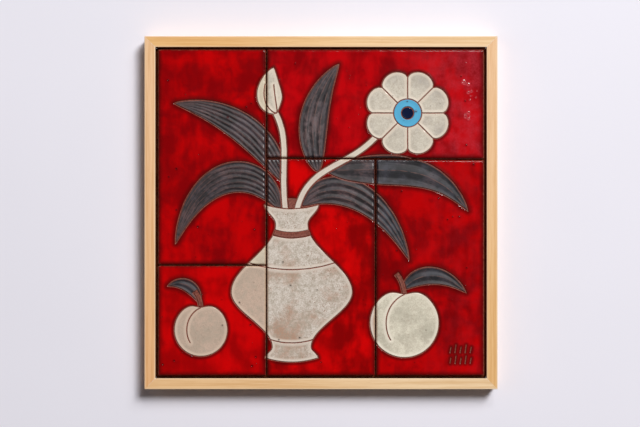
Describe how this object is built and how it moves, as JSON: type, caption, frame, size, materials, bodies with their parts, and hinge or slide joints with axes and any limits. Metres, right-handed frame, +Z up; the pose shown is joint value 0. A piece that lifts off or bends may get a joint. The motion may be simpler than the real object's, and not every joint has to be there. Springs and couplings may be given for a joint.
{
  "type": "framed ceramic tile",
  "caption": "Square wall-hung panel of relief-carved, glazed ceramic tiles on a board in a mitred wooden frame, with a still life of a vase, leaves, a flower and fruit.",
  "frame": {"origin": "on the wall, at the middle of the top rail's back face", "axes": "+Z up, +X to the right of the picture, -Y out from the wall, the way the picture faces"},
  "size_m": [0.4936, 0.0318, 0.4936],
  "materials": {
    "tile_glaze": "glossy red glaze with cream, charcoal and blue areas between bare brown clay lines",
    "frame_wood": "clear satin on blond straight-grained wood",
    "backing_plywood": "bare plywood"
  },
  "bodies": {
    "root": {"tile_upper_left": "tile_glaze", "tile_lower_left": "tile_glaze", "tile_upper_right": "tile_glaze", "tile_middle": "tile_glaze", "tile_lower_right": "tile_glaze", "frame_rail_top": "frame_wood", "frame_rail_right": "frame_wood", "frame_rail_bottom": "frame_wood", "frame_rail_left": "frame_wood", "backing_board": "backing_plywood"}
  },
  "joints": []
}
